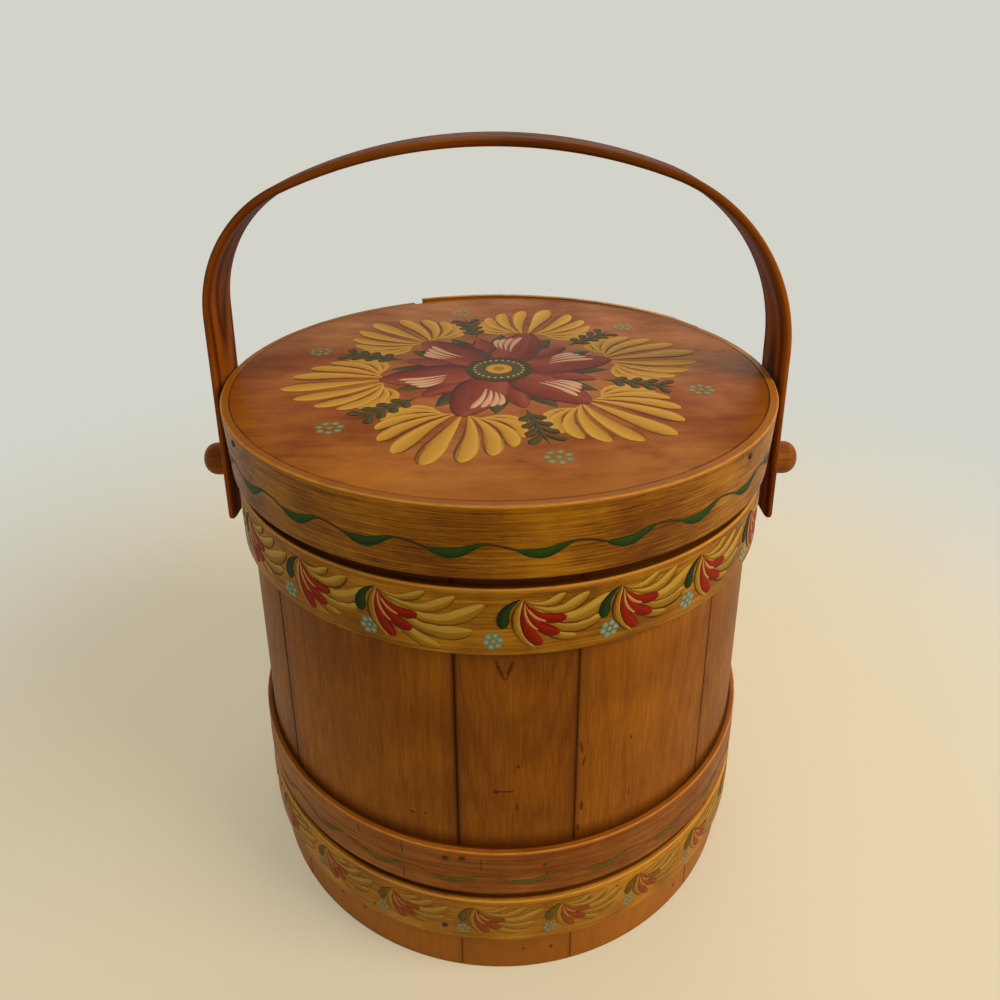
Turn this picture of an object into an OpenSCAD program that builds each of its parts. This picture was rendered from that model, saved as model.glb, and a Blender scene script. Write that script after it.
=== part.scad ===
// A lidded wooden firkin, the kind also called a sugar bucket. Tapered staves stand on end
// round a bottom head and are held by three lapped bentwood hoops. A slip-on lid is a board
// in a lapped rim. A bentwood bail swings on two turned pegs driven into opposite staves.
// Millimetres. +Z is up and the staves stand on Z = 0. The pegs lie along X.
// Bearings are in degrees, 0 at the front (-Y) and anticlockwise seen from above.

/* [Staves] */
// Outer diameter across the feet of the staves
foot_d = 305.4; // [294:0.2:330]
// Outer diameter across the top edges of the staves
mouth_d = 269.4; // [256:0.2:284]
// Length of the staves
stave_len = 281; // [262:1:320]
// Thickness of the staves
stave_t = 12.5; // [10:0.5:15]
// Bearing of the seam where the first stave starts
first_seam = -8; // [-11:0.1:-5]
// Leg of the small bevel along each outer corner of a stave
seam_ease = 0.6; // [0.3:0.1:1]
// Leg of the bevel inside the mouth and inside the feet
inner_bevel = 3; // [1:0.5:5]

/* [Bottom head] */
// Height of the underside of the bottom head above the floor
head_z = 15; // [9:0.5:22]
// Thickness of the bottom head
head_t = 11; // [8:0.5:14]
// Thickness that the bevelled edge of the head keeps in its groove
head_lip = 5; // [3:0.5:7]
// Depth of the groove that holds the head
croze_depth = 5; // [3:0.5:6.5]
// Clearance round the edge of the head in its groove
croze_play = 0.3; // [0.1:0.05:0.6]

/* [Hoops] */
// Thickness of the bent strip of each hoop
hoop_t = 3.9; // [2.6:0.1:4.6]
// Clearance between a hoop and the staves that it holds
hoop_fit = 0.1; // [0.05:0.05:0.3]
// Drop from the top edge of the staves to the top hoop
top_hoop_drop = 26.8; // [23:0.2:34]
// Width of the top hoop
top_hoop_w = 33; // [29:0.5:40]
// Height of the bottom hoop above the floor
bottom_hoop_z = 29.8; // [12:0.2:50]
// Width of the bottom hoop
bottom_hoop_w = 32.4; // [24:0.2:40]
// Gap between the bottom hoop and the lower hoop
hoop_gap = 6.2; // [0.5:0.1:8]
// Width of the lower hoop
lower_hoop_w = 30.2; // [24:0.2:40]
// Arc that the outer end of a hoop lies over the inner end
lap_arc = 36; // [24:1:60]
// How far the outer end of a strip stands out at its lap
lap_t = 1.8; // [1:0.1:2.2]

/* [Lid] */
// Thickness of the lid's board
board_t = 12.5; // [9:0.5:16]
// Height of the lid's rim
rim_h = 33.5; // [24:0.5:36]
// Thickness of the rim's bent strip
rim_t = 4; // [2.6:0.1:5]
// Clearance between the staves and the rim at the rim's lower edge
lid_play = 2; // [0.8:0.1:4]
// Clearance between the board and the rim
board_fit = 0.15; // [0.05:0.05:0.3]
// Clearance under the board where it rests on the staves
seat_gap = 0.3; // [0.2:0.05:0.5]
// Arc of the rim's long lap
rim_lap_arc = 82; // [60:1:100]
// How far the free end of the rim has sprung up above the board
rim_rise = 1.6; // [0.6:0.1:2.4]

/* [Bail] */
// Width of the bail's strip
bail_w = 35; // [26:0.5:42]
// Thickness of the bail's strip
bail_t = 4; // [3:0.1:5]
// Clearance between the bail's legs and the rim, level with the lid's top
bail_play = 2.7; // [1.5:0.1:5]
// Lean of the legs, which spread towards their feet
leg_lean = 4.6; // [2:0.1:6]
// Height of the crown above the pegs
bail_rise = 166; // [156:1:185]
// Radius of the crown
crown_r = 259; // [225:1:300]
// Sideways shift of the crown's centre
crown_shift = -3; // [-6:0.5:6]
// Radius of the left shoulder
left_shoulder_r = 72.4; // [62:0.2:90]
// Radius of the right shoulder
right_shoulder_r = 99.6; // [80:0.2:108]
// Length of the legs below the pegs
bail_tail = 31; // [24:0.5:40]
// Radius of the corners at the feet of the legs
tail_corner_r = 3; // [1:0.5:6]

/* [Pegs] */
// Drop from the top hoop's upper edge to the pegs
peg_drop = 13.4; // [11:0.2:17]
// Diameter of the pegs' shanks
peg_d = 10; // [8:0.2:12]
// Diameter of the pegs' heads
peg_head_d = 18.4; // [15:0.2:22]
// Length of the pegs' heads
peg_head_len = 13.4; // [9:0.2:18]
// Radius of the rounding on the pegs' heads
peg_round = 6.8; // [3:0.2:7.4]
// Radial clearance of the bail on the pegs
running_gap = 0.05; // [0.02:0.01:0.1]
// Radial clearance of the pegs in the staves and the top hoop
peg_fit = 0.03; // [0.02:0.01:0.1]
// Clearance between the pegs' heads and the bail
head_gap = 0.3; // [0.2:0.05:0.6]
// How far the pegs show inside the bucket
peg_end = 1.5; // [0.5:0.5:4]

/* [Tacks] */
// Diameter of the tacks' heads
tack_head_d = 3.4; // [2.4:0.1:4.4]
// Height of the tacks' heads
tack_head_h = 0.7; // [0.4:0.1:1]
// Diameter of the tacks' shanks
tack_d = 1.3; // [0.8:0.1:1.8]
// Length of the tacks' shanks
tack_len = 2.2; // [1.6:0.1:2.4]

/* [Hidden] */
$fn = 96;
slack = 5;                  // how far a cutting shape runs past what it cuts
edge_r = 0.8;               // rounding of the hoops' and the lid's long edges
arc_steps = 6;              // points in a small rounding
bend_steps = 26;            // points along each bend of the bail
stave_share = [22.7, 32.3, 26.1, 30, 28, 32, 27, 33, 30, 31, 25.8, 42.1];
stave_count = len(stave_share);
head_board_count = 3;
hoop_lap_bearing = [155, 196, 213];   // where the laps of the top, lower and bottom hoops end
rim_lap_end = 202.5;                  // bearing of the free end of the rim
rim_tack_bearing = [-56.5, 49.8];     // tacks through the single thickness of the rim
rim_lap_tack_arc = [3.5, 18.5, 42, 66];   // arcs from the rim's free end back to the tacks in its lap
hoop_lap_tack_arc = [3, 10, 17];      // arcs from a hoop's end back to the tacks in its lap
lower_front_tacks = [[-10.4, 0.8], [-7.1, 0.84]];   // bearing, and height as a share of the strip
bottom_front_tacks = [[-11, 0.29]];
rise_start = 0.15;          // height of the rim's outer end above the board where its lap starts
rim_chip_w = 6.6;
rim_chip_depth = 1.8;
tack_edge = 7;              // distance of the tacks from a hoop's edge
rim_tack_edge = 5;          // distance of the tacks from the rim's upper edge
ramp_foot = 3;              // arc from where a ramp's plane is square on to where it leaves the strip

taper = (foot_d - mouth_d) / 2 / stave_len;
taper_angle = atan(taper);
lower_hoop_z = bottom_hoop_z + bottom_hoop_w + hoop_gap;
top_hoop_z = stave_len - top_hoop_drop - top_hoop_w;
peg_z = top_hoop_z + top_hoop_w - peg_drop;
board_z = stave_len + seat_gap;
lid_top = board_z + board_t;
rim_z = lid_top - rim_h;
rim_in = stave_r(rim_z) + lid_play;
rim_out = rim_in + rim_t;
leg_x = rim_out + bail_play + bail_t / cos(leg_lean) + (lid_top - peg_z) * tan(leg_lean);
crown_c = [crown_shift, bail_rise - crown_r];
peg_head_x = leg_x + peg_head_d / 2 * tan(leg_lean) + head_gap;

STAVES = [for (i = [1:stave_count]) numbered("stave_", i)];
HEAD_BOARDS = [for (i = [1:head_board_count]) numbered("head_board_", i)];

pine = "#a4611f";
ochre = "#b98a3c";
amber = "#a9682a";
russet = "#8f4d22";
chestnut = "#6a3413";
iron = "#3b2b20";

function numbered(stem, i) = str(stem, i < 10 ? "0" : "", i);
function unit(a) = [cos(a), sin(a)];
function arc(c, r, a0, a1, n) = [for (i = [0:n]) c + r * unit(a0 + (a1 - a0) * i / n)];
function total(list, n) = n == 0 ? 0 : list[n - 1] + total(list, n - 1);
function stave_r(z) = foot_d / 2 - taper * z;
function seam(i) = first_seam + 360 * total(stave_share, i) / total(stave_share, stave_count);
function reversed(list) = [for (i = [len(list) - 1:-1:0]) list[i]];

// Turns a shape that faces +X to a bearing.
module facing(bearing) {
    rotate([0, 0, bearing - 90]) children();
}

// A revolve of the children from one bearing over an arc.
module revolve(bearing, arc) {
    facing(bearing) rotate_extrude(angle = arc) children();
}

// The section of a stave, with the groove for the bottom head cut across its inner face.
module stave_section() {
    inner = function(z) stave_r(z) - stave_t;
    groove_z0 = head_z + (head_t - head_lip) / 2 - croze_play;
    groove_z1 = groove_z0 + head_lip + 2 * croze_play;
    groove_r = inner(groove_z0) + croze_depth;
    polygon([
        [stave_r(0) - edge_r, 0],
        [stave_r(edge_r), edge_r],
        [stave_r(stave_len - edge_r), stave_len - edge_r],
        [stave_r(stave_len) - edge_r, stave_len],
        [inner(stave_len) + inner_bevel, stave_len],
        [inner(stave_len - inner_bevel), stave_len - inner_bevel],
        [inner(groove_z1), groove_z1],
        [groove_r, groove_z1],
        [groove_r, groove_z0],
        [inner(groove_z0), groove_z0],
        [inner(inner_bevel), inner_bevel],
        [inner(0) + inner_bevel, 0]
    ]);
}

// What is cut from a stave's outer corner to ease it: side is -1 where the stave starts, 1 where
// it ends.
module corner_cutter(bearing, side) {
    facing(bearing)
        translate([stave_r(stave_len / 2), 0, stave_len / 2])
            rotate([0, -taper_angle, 0])
                rotate([0, 0, side * 45])
                    translate([-seam_ease / sqrt(2), -slack, -stave_len / 2 - slack])
                        cube([slack, 2 * slack, stave_len + 2 * slack]);
}

module peg_bores(d) {
    translate([0, 0, peg_z]) rotate([0, 90, 0]) cylinder(d = d, h = foot_d + 4 * slack, center = true);
}

module stave(i) {
    start = seam(i - 1);
    end = seam(i);
    color(pine) difference() {
        revolve(start, end - start) stave_section();
        corner_cutter(start, -1);
        corner_cutter(end, 1);
        peg_bores(peg_d + 2 * peg_fit);
    }
}

// One board of the bottom head, whose bevelled edge sits in the groove of the staves.
module head_board(i) {
    lip_z = head_z + (head_t - head_lip) / 2;
    head_r = stave_r(lip_z) - stave_t + croze_depth - croze_play;
    bevel_r = head_r - croze_depth - (head_t - head_lip) / 2;
    board_w = 2 * head_r / head_board_count;
    color(pine) intersection() {
        rotate_extrude() polygon([
            [0, head_z],
            [bevel_r, head_z],
            [head_r - croze_depth + croze_play, lip_z],
            [head_r, lip_z],
            [head_r, lip_z + head_lip],
            [head_r - croze_depth + croze_play, lip_z + head_lip],
            [bevel_r, head_z + head_t],
            [0, head_z + head_t]
        ]);
        translate([-head_r - slack, (i - 1) * board_w - head_r, head_z - slack])
            cube([2 * (head_r + slack), board_w, head_t + 2 * slack]);
    }
}

// The section of a bent strip that leans with a taper, with its outer edges rounded.
module strip_section(r, z, w, t, lean) {
    polygon(concat(
        [[r, z]],
        arc([r + t - edge_r, z + edge_r], edge_r, -90, 0, arc_steps),
        arc([r + t - edge_r - lean * w, z + w - edge_r], edge_r, 0, 90, arc_steps),
        [[r - lean * w, z + w]]
    ));
}

// Everything outside a plane that leaves the strip's face on a straight ramp, where the outer
// end starts to rise off the inner end.
module ramp_cutter(r, z, w, lean, bearing) {
    sunk = cos(ramp_foot);
    far = r + 10 * slack;
    facing(bearing)
        rotate([90, 0, 0])
            linear_extrude(2 * r, center = true)
                polygon([
                    [(r + lean * slack) * sunk, z - slack],
                    [far, z - slack],
                    [far, z + w + slack],
                    [(r - lean * (w + slack)) * sunk, z + w + slack]
                ]);
}

// A bent strip whose outer end lies over its inner end for an arc and stops at a bearing.
// Any children are cut from that outer end.
module lapped_strip(r, z, w, t, lean, arc, end, extra_w = 0) {
    start = end - arc;
    rotate_extrude() strip_section(r, z, w, t, lean);
    difference() {
        revolve(start, arc) strip_section(r + t / 2, z, w + extra_w, t / 2 + lap_t, lean);
        ramp_cutter(r + t, z, w + extra_w, lean, start);
        children();
    }
}

module hoop(z, w, end) {
    lapped_strip(stave_r(z) + hoop_fit, z, w, hoop_t, taper, lap_arc, end);
}

// A tack driven square into a strip's face, with its head outside.
module tack(r, z, lean_angle, bearing) {
    facing(bearing)
        translate([r, 0, z])
            rotate([0, 90 - lean_angle, 0])
                rotate_extrude($fn = 24) polygon([
                    [0, -tack_len],
                    [tack_d / 2, 1 - tack_len],
                    [tack_d / 2, 0],
                    [tack_head_d / 2, 0],
                    [tack_head_d / 2.6, tack_head_h * 0.7],
                    [0, tack_head_h]
                ]);
}

// Two rows of tacks through a hoop's lap, and any odd tacks in its front.
module hoop_tacks(z, w, end, front = []) {
    face = function(z) stave_r(z) + hoop_fit + hoop_t;
    for (row = [z + tack_edge, z + w - tack_edge]) {
        for (back = hoop_lap_tack_arc) tack(face(row) + lap_t, row, -taper_angle, end - back);
    }
    for (place = front) {
        row = z + w * place[1];
        tack(face(row), row, -taper_angle, place[0]);
    }
}

module top_hoop() {
    color(ochre) difference() {
        hoop(top_hoop_z, top_hoop_w, hoop_lap_bearing[0]);
        peg_bores(peg_d + 2 * peg_fit);
    }
}

module lower_hoop() {
    color(amber) hoop(lower_hoop_z, lower_hoop_w, hoop_lap_bearing[1]);
}

module bottom_hoop() {
    color(ochre) hoop(bottom_hoop_z, bottom_hoop_w, hoop_lap_bearing[2]);
}

module top_hoop_tacks() {
    color(iron) hoop_tacks(top_hoop_z, top_hoop_w, hoop_lap_bearing[0]);
}

module lower_hoop_tacks() {
    color(iron) hoop_tacks(lower_hoop_z, lower_hoop_w, hoop_lap_bearing[1], lower_front_tacks);
}

module bottom_hoop_tacks() {
    color(iron) hoop_tacks(bottom_hoop_z, bottom_hoop_w, hoop_lap_bearing[2], bottom_front_tacks);
}

module lid_board() {
    r = rim_in - board_fit;
    color(russet) rotate_extrude() polygon([
        [0, board_z],
        [r - edge_r, board_z],
        [r, board_z + edge_r],
        [r, lid_top - edge_r / 2],
        [r - edge_r / 2, lid_top],
        [0, lid_top]
    ]);
}

// What is cut from the rim's outer end, so that its upper edge climbs along the lap.
module rise_cutter() {
    chord = 2 * rim_out * sin(rim_lap_arc / 2);
    facing(rim_lap_end - rim_lap_arc)
        translate([rim_out, 0, lid_top + rise_start])
            rotate([0, 0, 90 + rim_lap_arc / 2])
                rotate([0, -atan((rim_rise - rise_start) / chord), 0])
                    translate([-slack, -rim_out, 0])
                        cube([2 * rim_out, 2 * rim_out, 2 * slack]);
}

// The rim's free end has sprung up above the board, and a chip is gone from the edge beside it.
module lid_rim() {
    color(ochre) difference() {
        lapped_strip(rim_in, rim_z, rim_h, rim_t, 0, rim_lap_arc, rim_lap_end, rim_rise) rise_cutter();
        facing(rim_lap_end)
            translate([rim_in - slack, -rim_chip_w / 5, lid_top - rim_chip_depth])
                cube([rim_t + 2 * slack, rim_chip_w, 2 * slack]);
    }
}

module lid_rim_tacks() {
    z = lid_top - rim_tack_edge;
    color(iron) {
        for (bearing = rim_tack_bearing) tack(rim_out, z, 0, bearing);
        for (back = rim_lap_tack_arc) tack(rim_out + lap_t, z, 0, rim_lap_end - back);
    }
}

// A turned peg, from its end inside the bucket to its rounded head outside the bail.
module peg() {
    start = stave_r(peg_z) - stave_t - peg_end;
    corner = [peg_head_d / 2 - peg_round, peg_head_len - peg_round];
    color(chestnut) translate([0, 0, peg_z]) rotate([0, 90, 0])
        rotate_extrude() polygon(concat(
            [[0, start], [peg_d / 2, start], [peg_d / 2, peg_head_x], [peg_head_d / 2, peg_head_x]],
            [for (p = arc(corner, peg_round, 0, 90, 2 * arc_steps)) [p.x, p.y + peg_head_x]],
            [[0, peg_head_x + peg_head_len]]
        ));
}

module right_peg() {
    peg();
}

module left_peg() {
    mirror([1, 0, 0]) peg();
}

// Where a shoulder's circle touches both its leg's outer face and the crown's circle from inside.
function shoulder_c(side, r) =
    let (
        up = [-side * sin(leg_lean), cos(leg_lean)],
        p = [side * (leg_x - r * cos(leg_lean)), -r * sin(leg_lean)],
        q = p - crown_c,
        b = q * up
    )
    p + up * (sqrt(b * b - q * q + pow(crown_r - r, 2)) - b);

function bearing_from_crown(p) = atan2(p.y - crown_c.y, p.x - crown_c.x);

// One face of the bail seen from the front, a depth inside the outer face.
function bail_face(depth) =
    let (
        right = shoulder_c(1, right_shoulder_r),
        left = shoulder_c(-1, left_shoulder_r),
        right_a = bearing_from_crown(right),
        left_a = bearing_from_crown(left),
        foot_z = -bail_tail - 2 * slack,
        foot_x = leg_x - depth / cos(leg_lean) - foot_z * tan(leg_lean)
    )
    concat(
        [[foot_x, foot_z]],
        arc(right, right_shoulder_r - depth, leg_lean, right_a, bend_steps),
        arc(crown_c, crown_r - depth, right_a, left_a, bend_steps),
        arc(left, left_shoulder_r - depth, left_a, 180 - leg_lean, bend_steps),
        [[-foot_x, foot_z]]
    );

// The bail seen from the side, with rounded corners at its feet.
module bail_side() {
    x = bail_w / 2 - tail_corner_r;
    z = tail_corner_r - bail_tail;
    polygon(concat(
        arc([-x, z], tail_corner_r, 180, 270, arc_steps),
        arc([x, z], tail_corner_r, 270, 360, arc_steps),
        [[bail_w / 2, bail_rise + slack], [-bail_w / 2, bail_rise + slack]]
    ));
}

module bail() {
    color(chestnut) translate([0, 0, peg_z]) difference() {
        intersection() {
            rotate([90, 0, 0])
                linear_extrude(bail_w + 2 * slack, center = true)
                    polygon(concat(bail_face(0), reversed(bail_face(bail_t))));
            rotate([90, 0, 90]) linear_extrude(2 * leg_x + 10 * slack, center = true) bail_side();
        }
        rotate([0, 90, 0])
            cylinder(d = peg_d + 2 * running_gap, h = 2 * leg_x + 10 * slack, center = true);
    }
}

for (i = [1:stave_count]) stave(i);
for (i = [1:head_board_count]) head_board(i);
top_hoop();
lower_hoop();
bottom_hoop();
top_hoop_tacks();
lower_hoop_tacks();
bottom_hoop_tacks();
left_peg();
right_peg();
bail();
lid_board();
lid_rim();
lid_rim_tacks();
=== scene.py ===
"""Looks of the wooden firkin: stained pine staves, antiqued bentwood hoops and lid with folk painting."""

import math

import bmesh
import bpy
import numpy as np
from mathutils import Matrix, Vector

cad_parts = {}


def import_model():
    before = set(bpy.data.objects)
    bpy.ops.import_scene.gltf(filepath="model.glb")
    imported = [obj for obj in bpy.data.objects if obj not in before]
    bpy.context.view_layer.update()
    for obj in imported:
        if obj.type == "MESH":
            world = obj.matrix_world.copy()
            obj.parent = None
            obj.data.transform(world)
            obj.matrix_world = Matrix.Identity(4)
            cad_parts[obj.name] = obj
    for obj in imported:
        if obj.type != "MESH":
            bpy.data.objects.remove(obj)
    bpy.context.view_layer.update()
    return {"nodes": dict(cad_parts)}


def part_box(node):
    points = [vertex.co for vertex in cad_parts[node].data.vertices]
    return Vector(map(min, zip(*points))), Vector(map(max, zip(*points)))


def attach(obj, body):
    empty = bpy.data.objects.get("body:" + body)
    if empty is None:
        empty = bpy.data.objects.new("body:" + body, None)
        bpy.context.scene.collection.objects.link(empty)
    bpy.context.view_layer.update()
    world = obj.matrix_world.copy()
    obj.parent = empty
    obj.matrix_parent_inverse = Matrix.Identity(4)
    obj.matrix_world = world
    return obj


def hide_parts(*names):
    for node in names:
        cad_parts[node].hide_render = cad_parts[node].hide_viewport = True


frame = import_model()

MM = 0.001
nodes = frame["nodes"]

# Sizes in mm that the painted work and the bail share with the pieces that carry them
FOOT_R = 152.7          # radius across the feet of the staves
TAPER = 0.06406         # loss of radius for each mm of height
HOOP_OUT = 4.0          # outer face of a hoop above the staves
LAP_RISE = 1.8          # outer end of a strip above its inner end
RAMP_FOOT = 3.0         # degrees from where a lap's ramp is square on to where it leaves the strip
HOOP_LAP_ARC = 36.0
RIM_LAP_ARC = 82.0
LAP_END = {"top_hoop": 155.0, "lower_hoop": 196.0, "bottom_hoop": 213.0, "lid_rim": 202.5}
SEAMS = [-8.0, 14.7, 47.0, 73.1, 103.1, 131.1, 163.1, 190.1, 223.1, 253.1, 284.1, 309.9, 352.0]


def span(node):
    """Lowest and highest Z of a node in mm."""
    low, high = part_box(node)
    return low.z / MM, high.z / MM


TOP_Z = span("top_hoop")
LOWER_Z = span("lower_hoop")
BOTTOM_Z = span("bottom_hoop")
BOARD_Z = span("lid_board")
RIM_Z = (span("lid_rim")[0], BOARD_Z[1])
LID_TOP = BOARD_Z[1]
BOARD_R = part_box("lid_board")[1].x / MM
RIM_R = 142.03
PEG_Z = sum(span("right_peg")) / 2


def rgb(code):
    """A linear colour from an sRGB hex code."""
    parts = [int(code[i:i + 2], 16) / 255 for i in (0, 2, 4)]
    return tuple(c / 12.92 if c <= 0.04045 else ((c + 0.055) / 1.055) ** 2.4 for c in parts) + (1.0,)


class Shader:
    """A material under construction, with one short call for each kind of node."""

    def __init__(self, name):
        self.material = bpy.data.materials.new(name)
        self.material.use_nodes = True
        self.tree = self.material.node_tree
        self.tree.nodes.clear()

    def node(self, kind, inputs=None, **settings):
        made = self.tree.nodes.new(kind)
        for key, value in settings.items():
            setattr(made, key, value)
        for key, value in (inputs or {}).items():
            if isinstance(value, bpy.types.NodeSocket):
                self.tree.links.new(value, made.inputs[key])
            else:
                made.inputs[key].default_value = value
        return made

    def math(self, operation, *values, clamp=False):
        made = self.node("ShaderNodeMath", dict(enumerate(values)), operation=operation, use_clamp=clamp)
        return made.outputs[0]

    def add(self, a, b):
        return self.math("ADD", a, b)

    def times(self, a, b):
        return self.math("MULTIPLY", a, b)

    def minus(self, a, b):
        return self.math("SUBTRACT", a, b)

    def weigh(self, *parts):
        """The sum of values, each times its own weight."""
        total = None
        for value, weight in reversed(parts):
            part = self.times(value, weight)
            total = part if total is None else self.add(part, total)
        return total

    def vector(self, x, y, z):
        return self.node("ShaderNodeCombineXYZ", {0: x, 1: y, 2: z}).outputs[0]

    def noise(self, vector, detail=2.0, roughness=0.5, distortion=0.0):
        inputs = {
            "Vector": vector, "Scale": 1.0, "Detail": detail,
            "Roughness": roughness, "Distortion": distortion,
        }
        return self.node("ShaderNodeTexNoise", inputs).outputs[0]

    def step(self, value, low, high, to_low=0.0, to_high=1.0):
        """A smooth step from to_low, where value is low, to to_high, where it is high."""
        inputs = {"Value": value, "From Min": low, "From Max": high, "To Min": to_low, "To Max": to_high}
        return self.node("ShaderNodeMapRange", inputs, interpolation_type="SMOOTHSTEP").outputs[0]

    def near(self, value, centre, reach):
        """1 where value is at the centre, falling to 0 at the reach on both sides."""
        gap = self.math("ABSOLUTE", self.minus(value, centre))
        return self.step(gap, 0.0, reach, 1.0, 0.0)

    def mix(self, factor, a, b, blend="MIX"):
        inputs = {0: factor, 6: a, 7: b}
        return self.node("ShaderNodeMix", inputs, data_type="RGBA", blend_type=blend).outputs[2]

    def ramp(self, factor, stops):
        made = self.node("ShaderNodeValToRGB", {0: factor})
        elements = made.color_ramp.elements
        while len(elements) < len(stops):
            elements.new(0.5)
        for element, (place, colour) in zip(elements, stops):
            element.position = place
            element.color = rgb(colour)
        return made.outputs[0]

    def finish(self, colour, roughness, height, relief, gloss=0.07, metallic=0.0):
        """Joins colour, roughness and a height field, in mm, to the shader."""
        bump = self.node("ShaderNodeBump", {"Strength": 1.0, "Distance": relief * MM, "Height": height})
        inputs = {
            "Base Color": colour, "Roughness": roughness, "Normal": bump.outputs[0],
            "Metallic": metallic, "Specular IOR Level": gloss,
        }
        surface = self.node("ShaderNodeBsdfPrincipled", inputs)
        self.node("ShaderNodeOutputMaterial", {0: surface.outputs[0]})
        return self.material


def round_coords(s, cut):
    """Bearing in degrees from cut to cut + 360, and the radius and height in mm."""
    point = s.node("ShaderNodeTexCoord").outputs["Object"]
    x, y, z = s.node("ShaderNodeSeparateXYZ", {0: point}).outputs
    bearing = s.math("DEGREES", s.math("ARCTAN2", x, s.times(y, -1.0)))
    bearing = s.math("WRAP", bearing, cut + 360.0, cut)
    radius = s.times(s.math("SQRT", s.add(s.times(x, x), s.times(y, y))), 1 / MM)
    return bearing, radius, s.times(z, 1 / MM)


def flat_coords(s):
    """X, Y and Z in mm."""
    point = s.node("ShaderNodeTexCoord").outputs["Object"]
    return [s.times(axis, 1 / MM) for axis in s.node("ShaderNodeSeparateXYZ", {0: point}).outputs]


def grain(s, along, across, depth, heart=24.0, slope=0.05, spacing=5.0, sway=9.0, seed=0.0):
    """Growth rings, fibre and pores of a board, each from 0 to 1. Lengths are in mm."""
    wander = s.noise(s.vector(s.times(along, 0.007), s.times(across, 0.025), seed), 2.0, 0.5)
    drift = s.times(s.minus(wander, 0.5), 2 * sway)
    cut_depth = s.add(s.add(s.times(along, slope), heart), s.add(depth, drift))
    sideways = s.add(across, s.times(drift, 0.4))
    ring_r = s.math("SQRT", s.add(s.times(sideways, sideways), s.times(cut_depth, cut_depth)))
    ring = s.math("POWER", s.times(s.math("PINGPONG", ring_r, spacing / 2), 2 / spacing), 2.5)
    fibre_at = s.vector(s.times(along, 0.022), s.times(across, 0.9), s.add(s.times(depth, 0.9), seed))
    fibre = s.noise(fibre_at, 4.0, 0.62)
    pore_at = s.vector(s.times(along, 0.11), s.times(across, 3.2), s.add(s.times(depth, 3.2), seed))
    pore = s.step(s.noise(pore_at, 2.0, 0.5), 0.6, 0.72)
    return ring, fibre, pore


def mottle(s, a, b, c, size, seed, detail=3.0):
    """Soft blotches of stain of about the given size in mm."""
    at = s.vector(s.times(a, 1 / size), s.times(b, 1 / size), s.add(s.times(c, 1 / size), seed))
    return s.noise(at, detail, 0.55)


# Stained pine

def spots(s, bearing, height, marks, reach_mm):
    """Small dark marks, such as knots and dents.

    Each mark is its bearing, height, half width and half height, and its lean in mm per mm."""
    at = s.vector(s.times(bearing, 0.5 * reach_mm), s.times(height, 0.5), 0.0)
    uneven = s.times(s.minus(s.noise(at, 2.0, 0.6), 0.5), 2.4)
    total = None
    for at_bearing, at_height, half_w, half_h, lean in marks:
        up = s.minus(height, at_height)
        dx = s.times(s.minus(s.times(s.minus(bearing, at_bearing), reach_mm), s.times(up, lean)), 1 / half_w)
        dz = s.times(up, 1 / half_h)
        distance = s.add(s.add(s.times(dx, dx), s.times(dz, dz)), uneven)
        mark = s.step(distance, 0.2, 1.2, 1.0, 0.0)
        total = mark if total is None else s.math("MAXIMUM", total, mark)
    return total


STAVE_MARKS = {
    1: [(0.3, 210.2, 1.2, 6.0, -0.4), (2.1, 210.2, 1.2, 5.8, 0.32), (-0.6, 137.0, 2.0, 1.4, 0.0),
        (1.2, 137.2, 4.4, 0.7, 0.0), (3.6, 153.0, 1.1, 1.3, 0.0), (3.4, 126.8, 0.6, 2.4, 0.0),
        (4.8, 16.0, 1.2, 1.2, 0.0), (10.6, 15.0, 1.3, 1.6, 0.0)],
    2: [(15.7, 160.0, 0.8, 5.0, -0.2), (16.3, 151.0, 0.8, 3.4, 0.2), (16.1, 121.2, 1.1, 3.6, 0.0),
        (15.5, 106.0, 0.9, 3.0, 0.0), (26.35, 156.6, 0.9, 1.3, 0.0), (26.6, 119.2, 0.8, 2.6, 0.0),
        (42.6, 11.8, 1.1, 2.2, 0.0)],
    3: [(54.1, 161.7, 0.7, 2.2, 0.1), (61.0, 133.0, 1.0, 2.2, 0.0)],
    12: [(342.9, 115.9, 2.2, 0.8, 0.0), (345.5, 117.0, 1.4, 0.7, 0.0), (322.7, 18.6, 1.5, 1.6, -0.4),
         (329.2, 20.2, 1.3, 2.0, -0.4), (331.7, 30.0, 1.1, 1.3, 0.0)],
}


def seam_shade(number):
    """How dark a seam has gone: the front ones as photographed, the others in between."""
    front = (0.9, 0.62, 0.34)
    return front[number] if number < len(front) else 0.4 + 0.12 * (number * 5 % 4)


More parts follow.
